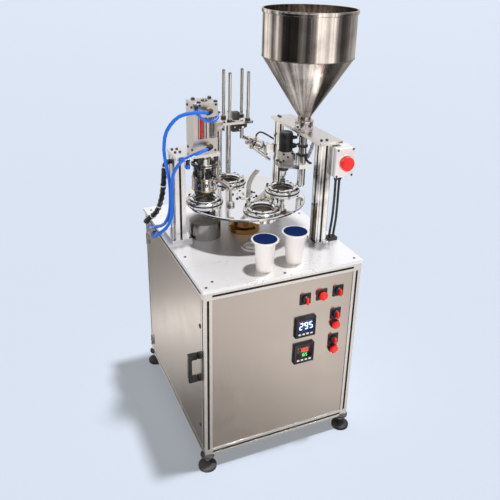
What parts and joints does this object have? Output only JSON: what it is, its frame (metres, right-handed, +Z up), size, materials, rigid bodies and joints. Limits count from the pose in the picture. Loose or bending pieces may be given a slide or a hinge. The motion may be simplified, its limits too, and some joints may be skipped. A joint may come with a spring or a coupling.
{
  "type": "rotary cup sealing machine",
  "caption": "Free-standing rotary cup filling and sealing machine on a slotted aluminium cabinet, with turntable, heated sealing head, lid magazine and hopper.",
  "frame": {"origin": "centre of the bounding box, on the floor under the feet", "axes": "+Z up, the front panel with the buttons faces -Y, +X to the right of a person facing it from behind the picture's viewpoint"},
  "size_m": [0.733, 0.762, 1.5883],
  "materials": {
    "slotted_aluminium": "anodised, satin",
    "stainless_sheet": "brushed sheet",
    "table_steel": "ground plate, light satin",
    "black_parts": "moulded black",
    "gearbox_grey": "light grey paint",
    "motor_paint": "blue-grey paint",
    "hub_brass": "turned brass",
    "polished_steel": "polished",
    "cast_aluminium": "machined",
    "hopper_steel": "spun and polished stainless",
    "box_grey": "light grey moulding",
    "button_red": "gloss red",
    "knob_black": "black with a red grip",
    "instrument_black": "black bezel",
    "hose_blue": "blue polyurethane tube",
    "cable_black": "black sheath",
    "cup_white": "white cup with a dark blue film lid"
  },
  "bodies": {
    "frame": {"lower_rail_frame": "slotted_aluminium", "upper_rail_frame": "slotted_aluminium", "front_left_post": "slotted_aluminium", "front_right_post": "slotted_aluminium", "rear_left_post": "slotted_aluminium", "rear_right_post": "slotted_aluminium", "front_left_foot": "black_parts", "front_right_foot": "black_parts", "rear_left_foot": "black_parts", "rear_right_foot": "black_parts", "table_plate": "table_steel", "right_panel": "stainless_sheet", "back_panel": "stainless_sheet", "base_tray": "stainless_sheet", "front_panel": "stainless_sheet", "indexing_gearbox": "gearbox_grey", "drive_motor": "motor_paint", "cup_support": "polished_steel", "sealing_column": "slotted_aluminium", "air_cylinder": "cast_aluminium", "magazine_tower": "polished_steel", "lid_magazine": "polished_steel", "rear_column": "polished_steel", "right_column": "slotted_aluminium", "bridge_plate": "hopper_steel", "hopper": "hopper_steel", "hopper_cone": "hopper_steel", "hopper_collar": "hopper_steel", "pump_tube": "polished_steel", "nozzle": "polished_steel", "valve_block": "cast_aluminium", "valve_actuator": "black_parts", "stop_box": "box_grey", "speed_controller": "instrument_black", "heat_controller": "instrument_black", "air_hose_upper": "hose_blue", "air_hose_lower": "hose_blue", "cable_bundle": "cable_black", "stop_cables": "cable_black"},
    "door": {"door": "stainless_sheet", "door_handle": "black_parts"},
    "turntable": {"hub_flange": "hub_brass", "turntable": "polished_steel", "cup_mould_1": "polished_steel", "cup_mould_2": "polished_steel", "cup_mould_3": "polished_steel", "cup_mould_4": "polished_steel"},
    "sealing_head": {"sealing_rod": "polished_steel", "heater_head": "polished_steel"},
    "pick_up_arm": {"pick_up_arm": "polished_steel"},
    "selector_1": {"selector_1": "knob_black"},
    "selector_2": {"selector_2": "knob_black"},
    "selector_3": {"selector_3": "knob_black"},
    "selector_4": {"selector_4": "knob_black"},
    "start_button": {"start_button": "button_red"},
    "reset_button": {"reset_button": "button_red"},
    "stop_button": {"stop_button": "button_red"},
    "emergency_button": {"emergency_button": "button_red"},
    "sample_cup_1": {"sample_cup_1": "cup_white"},
    "sample_cup_2": {"sample_cup_2": "cup_white"}
  },
  "joints": [
    {"name": "door_swing", "type": "hinge", "parent": "frame", "child": "door", "pos_m": [-0.3378, 0.332, 0.4], "axis": [0, 0, -1], "range_deg": [0, 110]},
    {"name": "turntable_spin", "type": "hinge", "parent": "frame", "child": "turntable", "pos_m": [-0.0225, 0.037, 0.9], "axis": [0, 0, 1], "continuous": true},
    {"name": "sealing_press", "type": "slide", "parent": "frame", "child": "sealing_head", "axis": [0, 0, -1], "range_m": [0, 0.03], "stiffness_N_per_m": 4000, "springref_m": -0.01},
    {"name": "arm_swing", "type": "hinge", "parent": "frame", "child": "pick_up_arm", "pos_m": [0.1455, 0.218, 1.025], "axis": [0, -1, 0], "range_deg": [0, 45]},
    {"name": "selector_1_turn", "type": "hinge", "parent": "frame", "child": "selector_1", "pos_m": [0.0465, -0.366, 0.645], "axis": [0, -1, 0], "range_deg": [-45, 45]},
    {"name": "selector_2_turn", "type": "hinge", "parent": "frame", "child": "selector_2", "pos_m": [0.1795, -0.366, 0.651], "axis": [0, -1, 0], "range_deg": [-45, 45]},
    {"name": "selector_3_turn", "type": "hinge", "parent": "frame", "child": "selector_3", "pos_m": [0.1765, -0.366, 0.557], "axis": [0, -1, 0], "range_deg": [-45, 45]},
    {"name": "selector_4_turn", "type": "hinge", "parent": "frame", "child": "selector_4", "pos_m": [0.1755, -0.366, 0.446], "axis": [0, -1, 0], "range_deg": [-45, 45]},
    {"name": "start_button_press", "type": "slide", "parent": "frame", "child": "start_button", "axis": [0, 1, 0], "range_m": [0, 0.004], "stiffness_N_per_m": 400, "springref_m": -0.003},
    {"name": "reset_button_press", "type": "slide", "parent": "frame", "child": "reset_button", "axis": [0, 1, 0], "range_m": [0, 0.004], "stiffness_N_per_m": 400, "springref_m": -0.003},
    {"name": "stop_button_press", "type": "slide", "parent": "frame", "child": "stop_button", "axis": [0, 1, 0], "range_m": [0, 0.004], "stiffness_N_per_m": 400, "springref_m": -0.003},
    {"name": "emergency_button_press", "type": "slide", "parent": "frame", "child": "emergency_button", "axis": [0, 1, 0], "range_m": [0, 0.004], "stiffness_N_per_m": 400, "springref_m": -0.003},
    {"name": "sample_cup_1_lift", "type": "slide", "parent": "frame", "child": "sample_cup_1", "axis": [0, 0, 1], "range_m": [0, 0.05]},
    {"name": "sample_cup_2_lift", "type": "slide", "parent": "frame", "child": "sample_cup_2", "axis": [0, 0, 1], "range_m": [0, 0.05]}
  ]
}
